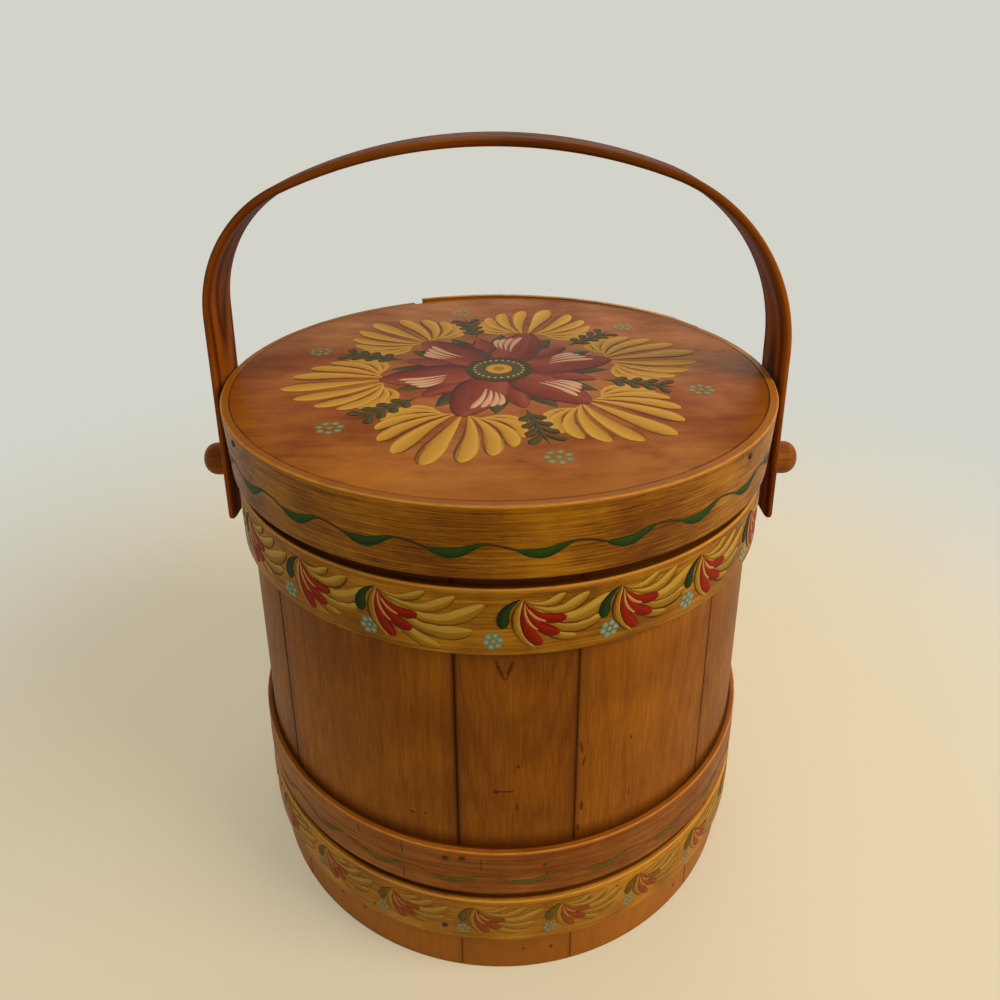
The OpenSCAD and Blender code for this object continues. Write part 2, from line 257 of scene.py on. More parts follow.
def stave_material(index):
    """Stained pine with upright grain, dark at its seams, with glaze and painted shade by the hoops and lid
    and painted floor light at its feet.
    """
    start, end = SEAMS[index - 1], SEAMS[index]
    s = Shader(f"stave_pine_{index:02d}")
    middle = (start + end) / 2
    bearing, radius, height = round_coords(s, middle - 180.0)
    degree = FOOT_R * math.pi / 180
    across = s.times(s.minus(bearing, middle), degree)
    depth = s.minus(radius, 140.0)
    heart = 14.0 + 9.0 * ((index * 5) % 7)
    slope = (0.07, -0.05, 0.03, -0.08)[index % 4]
    spacing = 4.2 + 0.5 * (index % 3)
    ring, fibre, pore = grain(s, height, across, depth, heart, slope, spacing, 8.0, index * 7.3)
    stain = mottle(s, height, across, depth, 46.0, index * 3.1)
    fine = s.noise(s.vector(s.times(height, 0.05), s.times(across, 2.4), index * 1.7), 3.0, 0.6)
    shade = s.weigh((ring, 0.07), (fibre, 0.34), (stain, 0.44), (fine, 0.26))
    tone = (0.0, 0.03, -0.02, 0.04)[(index * 3) % 4]
    colour = s.ramp(s.add(shade, tone), [
        (0.32, "a3620a"), (0.46, "8d5105"), (0.60, "784103"), (0.76, "612f02"), (0.95, "441c02"),
    ])
    colour = s.mix(s.times(pore, 0.16), colour, rgb("4a1f03"))
    seams = (
        (s.minus(bearing, start), seam_shade(index - 1)),
        (s.minus(end, bearing), seam_shade(index % 12)),
    )
    for gap, strength in seams:
        ragged = s.add(s.times(gap, degree), s.times(s.minus(fibre, 0.5), 2.2))
        colour = s.mix(s.step(ragged, 0.2, 8.0, 0.4 * strength, 0.0), colour, rgb("4c1f03"))
        colour = s.mix(s.step(ragged, 0.2, 2.2, 0.9 * strength, 0.0), colour, rgb("341302"))
    # Glaze and painted shade where the staves meet the hoops, and painted shade at their feet.
    wavy = s.add(height, s.times(s.minus(stain, 0.5), 5.0))
    for edge, reach in ((TOP_Z[0], 4.0), (LOWER_Z[1] + 1.0, 10.0), (BOTTOM_Z[0], 3.0), (0.0, 3.5)):
        colour = s.mix(s.times(s.near(wavy, edge, reach), 0.66), colour, rgb("451903"))
    # Painted shade in the gap between the lower hoop and the bottom hoop.
    over_gap = s.step(height, LOWER_Z[0] - 4.0, LOWER_Z[0])
    under_edge = s.step(height, LOWER_Z[1] - 2.0, LOWER_Z[1], 1.0, 0.0)
    colour = s.mix(s.times(s.times(over_gap, under_edge), 0.6), colour, rgb("3a1402"))
    # Painted shade in the recess under the lid's rim.
    under_lid = s.step(height, TOP_Z[1] - 2.0, TOP_Z[1] + 0.5)
    colour = s.mix(s.times(under_lid, 0.8), colour, rgb("4a1a04"))
    # Painted light from the floor on the feet of the staves.
    floor_lit_feet = s.step(height, BOTTOM_Z[0] - 7.0, BOTTOM_Z[0] - 2.0, 0.42, 0.0)
    colour = s.mix(floor_lit_feet, colour, rgb("b06c18"))
    marks = STAVE_MARKS.get(index)
    if marks:
        colour = s.mix(s.times(spots(s, bearing, height, marks, degree), 0.76), colour, rgb("3a1203"))
    roughness = s.step(s.add(fibre, s.times(pore, 0.3)), 0.2, 0.9, 0.34, 0.54)
    relief = s.add(s.times(fibre, 0.6), s.minus(s.times(ring, 0.2), s.times(pore, 0.4)))
    return s.finish(colour, roughness, relief, 0.14)


def head_material():
    """Unpainted pine of the bottom head, which the bucket hides."""
    s = Shader("head_pine")
    x, y, z = flat_coords(s)
    ring, fibre, pore = grain(s, x, y, z, 18.0, 0.03, 5.0, 10.0, 2.0)
    shade = s.weigh((ring, 0.3), (fibre, 0.5), (mottle(s, x, y, z, 60.0, 1.0), 0.3))
    colour = s.ramp(shade, [(0.3, "a8702f"), (0.6, "8a541d"), (0.9, "5d3410")])
    colour = s.mix(s.times(pore, 0.4), colour, rgb("4a2609"))
    return s.finish(colour, s.step(fibre, 0.2, 0.8, 0.55, 0.75), fibre, 0.2)


# Antiqued and stained bent strips

STRIP_LOOKS = {
    "ochre": {
        "ramp": [(0.26, "c48e20"), (0.42, "ac7510"), (0.56, "8f5a06"), (0.72, "6f4003"), (0.9, "4a2603")],
        "streak": "4f2803", "streaks": 0.6, "edge": "c8842c", "inner": "3a1303",
    },
    # A lighter copy of the ochre: painted light for the bottom hoop.
    "pale ochre": {
        "ramp": [(0.26, "d09a30"), (0.42, "ba821c"), (0.56, "9e670e"), (0.72, "7c4a08"), (0.9, "522a05")],
        "streak": "5c3006", "streaks": 0.6, "edge": "d08c34", "inner": "421703",
    },
    "rim": {
        "ramp": [(0.26, "c48c16"), (0.42, "a66e08"), (0.56, "875003"), (0.72, "673702"), (0.9, "3f1e02")],
        "streak": "421c02", "streaks": 0.8, "edge": "b8741e", "inner": "8a4e06", "inner_right": "a2621a",
    },
    "amber": {
        "ramp": [(0.26, "b67a2c"), (0.42, "9c5f18"), (0.56, "85490c"), (0.72, "6a3406"), (0.9, "481f04")],
        "streak": "421b03", "streaks": 0.34, "edge": "b46a20", "inner": "3a1303",
    },
}


def strip_material(name, look, low, high, radius_mm, lap_end, taper, crevice, marks=()):
    """A bent strip with its grain running round, brushed streaks, wear and a painted highlight on its top
    edge, and painted shade on its other edges.
    """
    s = Shader(name)
    bearing, radius, height = round_coords(s, lap_end - 360.0 + 0.02)
    degree = radius_mm * math.pi / 180
    along = s.times(bearing, degree)
    across = s.minus(height, low)
    depth = s.add(s.minus(radius, radius_mm), s.times(across, taper))
    seed = lap_end * 0.37
    ring, fibre, pore = grain(s, along, across, depth, 30.0, 0.012, 3.4, 5.0, seed)
    stain = mottle(s, along, across, depth, 38.0, seed)
    streak = s.noise(s.vector(s.times(along, 0.05), s.times(across, 1.6), seed), 6.0, 0.74, 0.2)
    fleck = s.noise(s.vector(s.times(along, 0.15), s.times(across, 2.4), seed + 5.0), 4.0, 0.62)
    shade = s.weigh((ring, 0.06), (fibre, 0.55), (stain, 0.5))
    colour = s.ramp(shade, look["ramp"])
    patch = s.times(s.step(stain, 0.3, 0.66, 0.4, 1.0), look["streaks"])
    colour = s.mix(s.times(s.step(streak, 0.48, 0.62), patch), colour, rgb(look["streak"]))
    colour = s.mix(s.times(s.step(fleck, 0.55, 0.68), patch), colour, rgb(look["streak"]))
    colour = s.mix(s.times(pore, 0.3), colour, rgb("351a08"))
    # Wear along the top edge, lightened further as a painted highlight.
    outer = s.step(depth, -1.6, -0.4)
    worn = s.near(s.add(height, s.times(s.minus(stain, 0.5), 1.4)), high - 0.2, 1.5)
    colour = s.mix(s.times(s.times(worn, 0.7), s.add(s.times(outer, 0.6), 0.4)), colour, rgb(look["edge"]))
    # Painted shade along the strip's lower edge.
    colour = s.mix(s.times(s.near(height, low, 1.5), 0.5), colour, rgb("3a1703"))
    # Painted shade on a hoop's top face; the rim's top face takes the board's stain.
    inner = s.step(s.add(depth, s.times(s.minus(streak, 0.5), 0.8)), crevice, crevice + 1.1, 0.85, 0.0)
    shaded = rgb(look["inner"])
    # Painted light on the rim's top face towards the right.
    if "inner_right" in look:
        shaded = s.mix(s.near(bearing, 78.0, 80.0), shaded, rgb(look["inner_right"]))
    colour = s.mix(inner, colour, shaded)
    # A painted highlight along the top arris.
    arris = s.times(s.step(height, high - 0.8, high - 0.1), s.step(depth, -0.9, -0.3))
    colour = s.mix(s.times(arris, s.step(fleck, 0.4, 0.6, 0.5, 0.15)), colour, rgb("dea04c"))
    lap = s.near(bearing, lap_end - 0.3, 1.0)
    colour = s.mix(s.times(lap, 0.6), colour, rgb("2c1206"))
    if marks:
        colour = s.mix(s.times(spots(s, bearing, height, marks, degree), 0.7), colour, rgb("3a1604"))
    roughness = s.step(s.add(streak, s.times(pore, 0.2)), 0.3, 0.8, 0.3, 0.56)
    relief = s.add(s.times(streak, 0.8), s.times(fibre, 0.5))
    return s.finish(colour, roughness, relief, 0.18, gloss=0.08)


def board_material():
    """The lid's board: red-brown mottled stain under a worn glossy varnish."""
    s = Shader("lid_board_stain")
    x, y, z = flat_coords(s)
    ring, fibre, pore = grain(s, x, y, z, 30.0, 0.06, 7.0, 16.0, 5.0)
    cloud = mottle(s, x, y, z, 52.0, 4.0, 4.0)
    fleck = mottle(s, s.times(x, 0.45), y, z, 9.0, 9.0, 4.0)
    shade = s.weigh((ring, 0.05), (fibre, 0.2), (cloud, 0.62), (fleck, 0.26))
    colour = s.ramp(shade, [
        (0.36, "b4700e"), (0.48, "9f5906"), (0.60, "8c4804"), (0.74, "733403"), (0.90, "4c1e03"),
    ])
    colour = s.mix(s.times(s.step(fleck, 0.56, 0.72), 0.22), colour, rgb("5a2806"))
    colour = s.mix(s.times(pore, 0.16), colour, rgb("4a1f06"))
    reach = s.math("SQRT", s.add(s.times(x, x), s.times(y, y)))
    ragged = s.add(reach, s.times(s.minus(cloud, 0.5), 14.0))
    colour = s.mix(s.step(ragged, BOARD_R - 24.0, BOARD_R + 6.0, 0.0, 0.4), colour, rgb("5a2c07"))
    # Painted sheen near the board's front edge.
    front_sheen = s.step(s.add(y, s.times(s.minus(fleck, 0.5), 90.0)), -128.0, -70.0, 0.34, 0.0)
    colour = s.mix(front_sheen, colour, rgb("b8741a"))
    joint = s.step(s.add(reach, s.times(s.minus(fleck, 0.5), 1.6)), BOARD_R - 1.2, BOARD_R - 0.1)
    colour = s.mix(s.times(joint, s.step(x, -40.0, 90.0, 0.25, 0.75)), colour, rgb("3a1604"))
    below = s.step(z, BOARD_Z[0] + 1.0, LID_TOP - 1.2, 0.6, 0.0)
    colour = s.mix(below, colour, rgb("6b4320"))
    roughness = s.step(s.add(cloud, s.times(fleck, 0.4)), 0.4, 0.95, 0.24, 0.46)
    return s.finish(colour, roughness, s.add(fibre, fleck), 0.1, gloss=0.045)


def bail_material():
    """Dark open-grained ash, with its grain along the bend."""
    s = Shader("bail_ash")
    place = s.node("ShaderNodeAttribute", attribute_name="grain").outputs["Vector"]
    along, across, depth = s.node("ShaderNodeSeparateXYZ", {0: place}).outputs
    ring, _, pore = grain(s, along, across, depth, 20.0, 0.018, 3.6, 4.0, 3.0)
    line = s.noise(s.vector(s.times(along, 0.012), s.times(across, 1.5), s.times(depth, 1.5)), 5.0, 0.66)
    stain = mottle(s, along, across, depth, 60.0, 7.0)
    shade = s.weigh((ring, 0.3), (line, 0.66), (stain, 0.24))
    colour = s.ramp(shade, [
        (0.32, "a85a0e"), (0.46, "8a4606"), (0.58, "6c3203"), (0.72, "4c1f02"), (0.9, "260e01"),
    ])
    colour = s.mix(s.times(pore, 0.5), colour, rgb("210c04"))
    # Lighter along both long edges.
    lighter_edges = s.step(s.math("ABSOLUTE", across), 15.0, 17.2, 0.0, 0.25)
    colour = s.mix(lighter_edges, colour, rgb("9c5a24"))
    # Darker towards the crown.
    darker_to_crown = s.step(flat_coords(s)[2], 330.0, 392.0, 0.0, 0.5)
    colour = s.mix(darker_to_crown, colour, rgb("3c1602"))
    roughness = s.step(s.add(line, s.times(pore, 0.3)), 0.3, 0.9, 0.42, 0.62)
    relief = s.minus(s.times(line, 0.8), s.times(pore, 0.6))
    return s.finish(colour, roughness, relief, 0.1, gloss=0.014)


def peg_material():
    """The turned pegs, with end grain on their rounded heads."""
    s = Shader("peg_ash")
    x, y, z = flat_coords(s)
    up = s.minus(z, PEG_Z)
    ring, fibre, pore = grain(s, x, y, up, 3.0, 0.05, 2.2, 1.5, 1.0)
    stain = mottle(s, x, y, up, 14.0, 2.0)
    shade = s.weigh((ring, 0.08), (fibre, 0.4), (stain, 0.62))
    colour = s.ramp(shade, [(0.3, "a4641e"), (0.5, "844810"), (0.7, "633108"), (0.92, "3a1704")])
    colour = s.mix(s.times(pore, 0.35), colour, rgb("2a1006"))
    return s.finish(colour, s.step(fibre, 0.2, 0.8, 0.32, 0.5), fibre, 0.12)


def iron_material():
    """Small iron tacks gone brown."""
    s = Shader("tack_iron")
    x, y, z = flat_coords(s)
    rust = mottle(s, x, y, z, 1.6, 3.0)
    colour = s.ramp(rust, [(0.3, "241a14"), (0.55, "3a2417"), (0.75, "5a3218")])
    return s.finish(colour, s.step(rust, 0.3, 0.7, 0.38, 0.75), rust, 0.05, gloss=0.5, metallic=0.6)


def paint_material(name, stops, worn="6e3d12", wear=0.25, relief=0.05):
    """Brushed paint, more faded on the two lower hoops.

    U runs along each stroke and V across it, and each stroke starts two units of U after the one before."""
    s = Shader(name)
    place = s.node("ShaderNodeUVMap", uv_map="stroke").outputs[0]
    u, v, _ = s.node("ShaderNodeSeparateXYZ", {0: place}).outputs
    x, y, z = flat_coords(s)
    bristle = s.noise(s.vector(s.times(u, 2.4), s.times(v, 7.0), 0.0), 3.0, 0.6)
    tone = s.noise(s.vector(s.times(u, 0.71), 3.7, 1.3), 1.0, 0.5)
    blend = s.add(v, s.add(s.times(s.minus(bristle, 0.5), 0.5), s.times(s.minus(tone, 0.5), 0.3)))
    colour = s.ramp(blend, stops)
    rubbed = s.noise(s.vector(s.times(x, 0.35), s.times(y, 0.35), s.times(z, 0.6)), 5.0, 0.7)
    colour = s.mix(s.step(rubbed, 0.56, 0.72, 0.0, wear), colour, rgb(worn))
    faded = s.step(z, LOWER_Z[1] + 1.4, LOWER_Z[1] + 11.4, s.step(rubbed, 0.35, 0.65, 0.2, 0.5), 0.0)
    colour = s.mix(faded, colour, rgb("8c6224"))
    return s.finish(colour, s.step(bristle, 0.3, 0.7, 0.4, 0.58), bristle, relief, gloss=0.06)


def dress(names, material):
    for name in names:
        nodes[name].data.materials.clear()
        nodes[name].data.materials.append(material)


for number in range(1, len(SEAMS)):
    dress([f"stave_{number:02d}"], stave_material(number))
dress(["head_board_01", "head_board_02", "head_board_03"], head_material())


def cone_r(z):
    """Radius of the outer face of the staves at a height."""
    return FOOT_R - TAPER * z


LOWER_MARKS = [(-19.3, 92.5, 0.6, 5.5, -0.05), (-19.1, 74.0, 0.6, 4.5, 0.0), (-3.5, 90.5, 0.5, 5.5, 0.0),
               (8.6, 88.6, 1.2, 1.5, 0.0), (9.1, 82.0, 0.6, 2.4, 0.0), (-29.2, 93.5, 0.6, 3.4, 0.0)]
BOTTOM_MARKS = [(-26.6, 37.0, 1.2, 1.6, 0.0), (24.0, 55.0, 0.6, 3.0, 0.0)]
RIM_MARKS = [(60.5, 277.0, 5.0, 5.5, 0.0), (-48.0, 284.0, 1.0, 2.0, 0.0)]
ALL_DARK = -1.5         # a top face that the lid shades gets painted shade to its outer edge
CREVICE = -3.2          # other top faces get painted shade only where they meet the staves
RIM_TOP = -1.9          # the rim's top face has the board's stain
dress(["top_hoop"], strip_material(
    "top_hoop_ochre", STRIP_LOOKS["ochre"], *TOP_Z, cone_r(TOP_Z[0]) + HOOP_OUT, LAP_END["top_hoop"],
    TAPER, ALL_DARK))
dress(["lower_hoop"], strip_material(
    "lower_hoop_amber", STRIP_LOOKS["amber"], *LOWER_Z, cone_r(LOWER_Z[0]) + HOOP_OUT, LAP_END["lower_hoop"],
    TAPER, CREVICE, LOWER_MARKS))
dress(["bottom_hoop"], strip_material(
    "bottom_hoop_ochre", STRIP_LOOKS["pale ochre"], *BOTTOM_Z, cone_r(BOTTOM_Z[0]) + HOOP_OUT,
    LAP_END["bottom_hoop"], TAPER, CREVICE + 0.6, BOTTOM_MARKS))
dress(["lid_rim"], strip_material(
    "lid_rim_ochre", STRIP_LOOKS["rim"], *RIM_Z, RIM_R, LAP_END["lid_rim"], 0.0, RIM_TOP, RIM_MARKS))
dress(["lid_board"], board_material())
dress(["left_peg", "right_peg"], peg_material())
dress(["top_hoop_tacks", "lower_hoop_tacks", "bottom_hoop_tacks", "lid_rim_tacks"], iron_material())


# The bail, with its long edges eased

LEG_LEAN = math.radians(4.6)
CROWN_R = 259.0         # outer radius of the crown
CROWN_SHIFT = -3.0      # how far its centre stands to the right of the bucket's
LEFT_SHOULDER_R = 72.4
RIGHT_SHOULDER_R = 99.6
BAIL_T = 4.0            # thickness of the strip
BAIL_EASE = 1.5         # rounding of the bail's edges through its thickness
BAIL_CROWN = 3.6        # and across its width
FOOT_CORNER = 3.0
PEG_BORE_R = 5.05
BAIL_LOW, BAIL_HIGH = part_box("bail")
BAIL_W = (BAIL_HIGH.y - BAIL_LOW.y) / MM
BAIL_TAIL = PEG_Z - BAIL_LOW.z / MM
BAIL_RISE = BAIL_HIGH.z / MM - PEG_Z
LEG_X = BAIL_HIGH.x / MM - BAIL_TAIL * math.tan(LEG_LEAN)
CROWN_C = Vector((CROWN_SHIFT, BAIL_RISE - CROWN_R))


def unit(angle):
    return Vector((math.cos(angle), math.sin(angle)))


def shoulder_centre(side, r):
    """Where a shoulder's circle touches its leg's outer face and the crown's circle from inside."""
    up = Vector((-side * math.sin(LEG_LEAN), math.cos(LEG_LEAN)))
    p = Vector((side * (LEG_X - r * math.cos(LEG_LEAN)), -r * math.sin(LEG_LEAN)))
    q = p - CROWN_C
    b = q.dot(up)
    return p + up * (math.sqrt(b * b - q.dot(q) + (CROWN_R - r) ** 2) - b)


def bail_line():
    """The bail's middle line in X and Z, in mm above the pegs, from the right foot to the left one."""
    half = BAIL_T / 2
    right = shoulder_centre(1, RIGHT_SHOULDER_R)
    left = shoulder_centre(-1, LEFT_SHOULDER_R)
    right_a = math.atan2(*(right - CROWN_C).yx)
    left_a = math.atan2(*(left - CROWN_C).yx)
    foot_x = LEG_X - half / math.cos(LEG_LEAN) + BAIL_TAIL * math.tan(LEG_LEAN)
    bends = [
        (right, RIGHT_SHOULDER_R, LEG_LEAN, right_a, 26),
        (CROWN_C, CROWN_R, right_a, left_a, 44),
        (left, LEFT_SHOULDER_R, left_a, math.pi - LEG_LEAN, 26),
    ]
    foot = Vector((foot_x, -BAIL_TAIL))
    hip = right + (RIGHT_SHOULDER_R - half) * unit(LEG_LEAN)
    tip = [0, 0.3, 0.75, 1.5, 3, 5]
    rest = np.linspace(7, (hip - foot).length, 14)[:-1]
    line = [foot + (hip - foot).normalized() * s for s in [*tip, *rest]]
    for centre, r, a0, a1, count in bends:
        line += [centre + (r - half) * unit(a0 + (a1 - a0) * i / count) for i in range(count)]
    last = left + (LEFT_SHOULDER_R - half) * unit(math.pi - LEG_LEAN)
    end = Vector((-foot_x, -BAIL_TAIL))
    reach = (end - last).length
    line += [last + (end - last).normalized() * s for s in np.linspace(0, reach - 7, 10)]
    return line + [end + (last - end).normalized() * s for s in reversed(tip)]


def strip_section(half_w, half_t, a, b, steps=5):
    """A rectangle with elliptical corners, a wide and b thick, whose points turn by even angles."""
    ring = []
    for corner, (sy, sn) in enumerate([(1, 1), (-1, 1), (-1, -1), (1, -1)]):
        for i in range(steps + 1):
            facing = unit(math.pi / 2 * (corner + i / steps))
            reach = math.hypot(a * facing.x, b * facing.y)
            y = sy * (half_w - a) + a * a * facing.x / reach
            n = sn * (half_t - b) + b * b * facing.y / reach
            ring.append((y, n))
    return ring


def new_object(name, mesh):
    made = bpy.data.objects.new(name, mesh)
    bpy.context.scene.collection.objects.link(made)
    return made


def build_bail():
    """A strip swept along the line, narrowed round the corners of its feet, and bored for the pegs."""
    line = bail_line()
    lengths = [0.0]
    for a, b in zip(line, line[1:]):
        lengths.append(lengths[-1] + (b - a).length)
    mesh = bmesh.new()
    rings = []
    for i, point in enumerate(line):
        ahead = line[min(i + 1, len(line) - 1)] - line[max(i - 1, 0)]
        out = Vector((ahead.y, -ahead.x)).normalized()
        from_foot = min(lengths[i], lengths[-1] - lengths[i])
        w = BAIL_W / 2
        if from_foot < FOOT_CORNER:
            w -= FOOT_CORNER - math.sqrt(FOOT_CORNER ** 2 - (FOOT_CORNER - from_foot) ** 2)
        t = BAIL_T / 2
        if from_foot < BAIL_EASE:
            t -= BAIL_EASE - math.sqrt(BAIL_EASE ** 2 - (BAIL_EASE - from_foot) ** 2)
        ring = []
        for y, n in strip_section(w, t, BAIL_CROWN, min(BAIL_EASE, t - 0.05)):
            ring.append(mesh.verts.new(Vector((point.x + out.x * n, y, PEG_Z + point.y + out.y * n)) * MM))
        rings.append(ring)
    count = len(rings[0])
    for a, b in zip(rings, rings[1:]):
        for k in range(count):
            mesh.faces.new((a[k], a[(k + 1) % count], b[(k + 1) % count], b[k]))
    mesh.faces.new(list(reversed(rings[0])))
    mesh.faces.new(rings[-1])
    bmesh.ops.recalc_face_normals(mesh, faces=mesh.faces)
    data = bpy.data.meshes.new("bail_strip")
    mesh.to_mesh(data)
    mesh.free()
    strip = new_object("bail_strip", data)
    drill_data = bpy.data.meshes.new("drill")
    mesh = bmesh.new()
    across = Matrix.Translation((0, 0, PEG_Z * MM)) @ Matrix.Rotation(math.pi / 2, 4, "Y")
    bmesh.ops.create_cone(mesh, cap_ends=True, segments=48, radius1=PEG_BORE_R * MM, radius2=PEG_BORE_R * MM,
                          depth=0.4, matrix=across)
    mesh.to_mesh(drill_data)
    mesh.free()
    drill = new_object("drill", drill_data)
    bore = strip.modifiers.new("bore", "BOOLEAN")
    bore.object = drill
    bore.solver = "EXACT"
    depsgraph = bpy.context.evaluated_depsgraph_get()
    bored = bpy.data.meshes.new_from_object(strip.evaluated_get(depsgraph))
    strip.modifiers.clear()
    strip.data = bored
    bpy.data.objects.remove(drill)
    bpy.data.meshes.remove(drill_data)
    bored.shade_smooth()
    bored.set_sharp_from_angle(angle=math.radians(38))
    line_xz = np.array([(p.x, p.y + PEG_Z) for p in line])
    at = np.array([v.co for v in bored.vertices]) / MM
    place = np.zeros((len(at), 3), np.float32)
    for i, (x, y, z) in enumerate(at):
        gap = np.hypot(line_xz[:, 0] - x, line_xz[:, 1] - z)
        nearest = int(gap.argmin())
        place[i] = (lengths[nearest], y, gap[nearest])
    attribute = bored.attributes.new("grain", "FLOAT_VECTOR", "POINT")
    attribute.data.foreach_set("vector", place.ravel())
    bored.materials.clear()
    bored.materials.append(bail_material())
    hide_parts("bail")
    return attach(strip, "bail")


build_bail()


# Painted work

def lap_radius(node, flat_r, bearing):
    """Radius of a lapped strip's outer face at a bearing, where flat_r is its radius off the lap."""
    arc = RIM_LAP_ARC if node == "lid_rim" else HOOP_LAP_ARC
    from_start = (bearing - LAP_END[node] + arc) % 360
    if from_start > arc or from_start < RAMP_FOOT:
        return flat_r
    ramp = flat_r * math.cos(math.radians(RAMP_FOOT)) / math.cos(math.radians(min(from_start, 80)))
    return min(ramp, flat_r + LAP_RISE)


def on_strip(node, bearing, height):
    """Puts a drawing in mm, with its origin at a bearing and a height, on the outer face of a strip."""
    def place(x, y, lift):
        z = height + y
        flat_r = RIM_R if node == "lid_rim" else cone_r(z) + HOOP_OUT
        turn = bearing + math.degrees(x / flat_r)
        r = lap_radius(node, flat_r, turn) + lift
        turn = math.radians(turn)
        return Vector((r * math.sin(turn), -r * math.cos(turn), z)) * MM
    return place


ROSETTE_SCALE = 1.12
ROSETTE_TURN = 14.0     # degrees from +X to the first plume of the rosette


def on_lid(turn=0.0):
    """Puts a drawing in mm, turned anticlockwise by degrees, on the top of the lid."""
    c, s = math.cos(math.radians(turn)), math.sin(math.radians(turn))

    def place(x, y, lift):
        x, y = x * ROSETTE_SCALE, y * ROSETTE_SCALE
        return Vector((c * x - s * y, s * x + c * y, LID_TOP + lift)) * MM
    return place


def comma(u):
    """Width along a stroke that starts as a point and ends round."""
    return min(u / 0.72, 1.0) ** 0.85 * math.sqrt(max(0.0, 1 - (max(0.0, u - 0.78) / 0.22) ** 2))


def leaf(u):
    """Width along a stroke that is pointed at both ends."""
    return math.sin(math.pi * u ** 0.85) ** 0.9 if 0 < u < 1 else 0.0


def petal(u):
    """Width along a full petal with a blunt root and a pointed tip."""
    return math.sqrt(math.sin(math.pi * min(1.0, 0.06 + 0.94 * u ** 0.8))) * (1 - 0.25 * u)


def bend(start, angle, length, bow):
    """The middle line of a stroke: its chord has an angle in degrees, and it bows to its right by bow mm."""
    a = math.radians(angle)
    start = Vector(start)
    end = start + length * Vector((math.cos(a), math.sin(a)))
    control = (start + end) / 2 + 2 * bow * Vector((math.sin(a), -math.cos(a)))
    return lambda u: start * (1 - u) ** 2 + control * 2 * u * (1 - u) + end * u * u


PAINT_EDGE = 0.05       # how far the edge of a stroke stands up from the wood
PAINT_SUNK = 0.12       # how far a stroke reaches into the wood
LAYER = 0.05            # how far each coat stands over the one below


class Paint:
    """The strokes of one colour on one body, gathered into one mesh."""

    def __init__(self, name, body, slot, material):
        self.name, self.body, self.slot, self.material = name, body, slot, material
        self.mesh = bmesh.new()
        self.uv = self.mesh.loops.layers.uv.new("stroke")
        self.count = 0

    def sheet(self, rows, coords):
        """Closes a grid of points, whose first and last columns lie in the wood, into a solid stroke."""
        verts = [[self.mesh.verts.new(p) for p in row] for row in rows]
        last = len(verts[0]) - 1
        faces = []
        for i in range(len(rows) - 1):
            for j in range(last):
                corners = [(i, j), (i, j + 1), (i + 1, j + 1), (i + 1, j)]
                faces.append(corners)
            faces.append([(i, last), (i, 0), (i + 1, 0), (i + 1, last)])
        faces.append([(0, j) for j in range(last, -1, -1)])
        faces.append([(len(rows) - 1, j) for j in range(last + 1)])
        for corners in faces:
            face = self.mesh.faces.new([verts[i][j] for i, j in corners])
            face.smooth = True
            for loop, (i, j) in zip(face.loops, corners):
                u, v = coords[i][j]
                loop[self.uv].uv = (u + 2 * self.count, v)
        self.count += 1

    def stroke(self, place, spine, width, shape=comma, layer=0, dome=0.025, steps=10, flip=False,
               round_end=True):
        rows, coords = [], []
        base = PAINT_EDGE + layer * LAYER
        for i in range(steps + 1):
            u = math.sin(math.pi / 2 * i / steps) if round_end else i / steps
            at = spine(u)
            ahead = (spine(u + 0.01) - spine(u - 0.01)).normalized()
            side = Vector((-ahead.y, ahead.x))
            half = max(width / 2 * shape(u), 0.12)
            row, coord = [], []
            for v, lift in ((-1, -PAINT_SUNK), (-1, base), (-0.5, base + 0.75 * dome), (0, base + dome),
                            (0.5, base + 0.75 * dome), (1, base), (1, -PAINT_SUNK)):
                point = at + side * half * v
                row.append(place(point.x, point.y, lift * min(1.0, half / 0.5) if lift > 0 else lift))
                coord.append((u, 0.5 + (-0.5 if flip else 0.5) * v))
            rows.append(row)
            coords.append(coord)
        self.sheet(rows, coords)

    def dot(self, place, centre, r, layer=0, dome=0.3, sides=12):
        """A drop of paint, widest at the wood."""
        centre = Vector(centre)
        base = layer * LAYER
        rings = [(1.0, -PAINT_SUNK), (1.0, base + 0.04), (0.8, base + 0.6 * dome), (0.45, base + 0.92 * dome)]
        verts = []
        for share, lift in rings:
            circle = [centre + unit(2 * math.pi * k / sides) * r * share for k in range(sides)]
            verts.append([self.mesh.verts.new(place(p.x, p.y, lift)) for p in circle])
        faces = [(verts[0][::-1], 0.0), (verts[-1], 1.0)]
        for level, (a, b) in enumerate(zip(verts, verts[1:])):
            for k in range(sides):
                faces.append(([a[k], a[(k + 1) % sides], b[(k + 1) % sides], b[k]], level / 3))
        for corners, v in faces:
            face = self.mesh.faces.new(corners)
            face.smooth = True
            for loop in face.loops:
                loop[self.uv].uv = (2 * self.count + 0.5, v)
        self.count += 1

    def finish(self):
        bmesh.ops.recalc_face_normals(self.mesh, faces=self.mesh.faces)
        data = bpy.data.meshes.new(self.name)
        self.mesh.to_mesh(data)
        self.mesh.free()
        data.set_sharp_from_angle(angle=math.radians(50))
        data.materials.append(self.material)
        made = new_object(self.name, data)
        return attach(made, self.body)


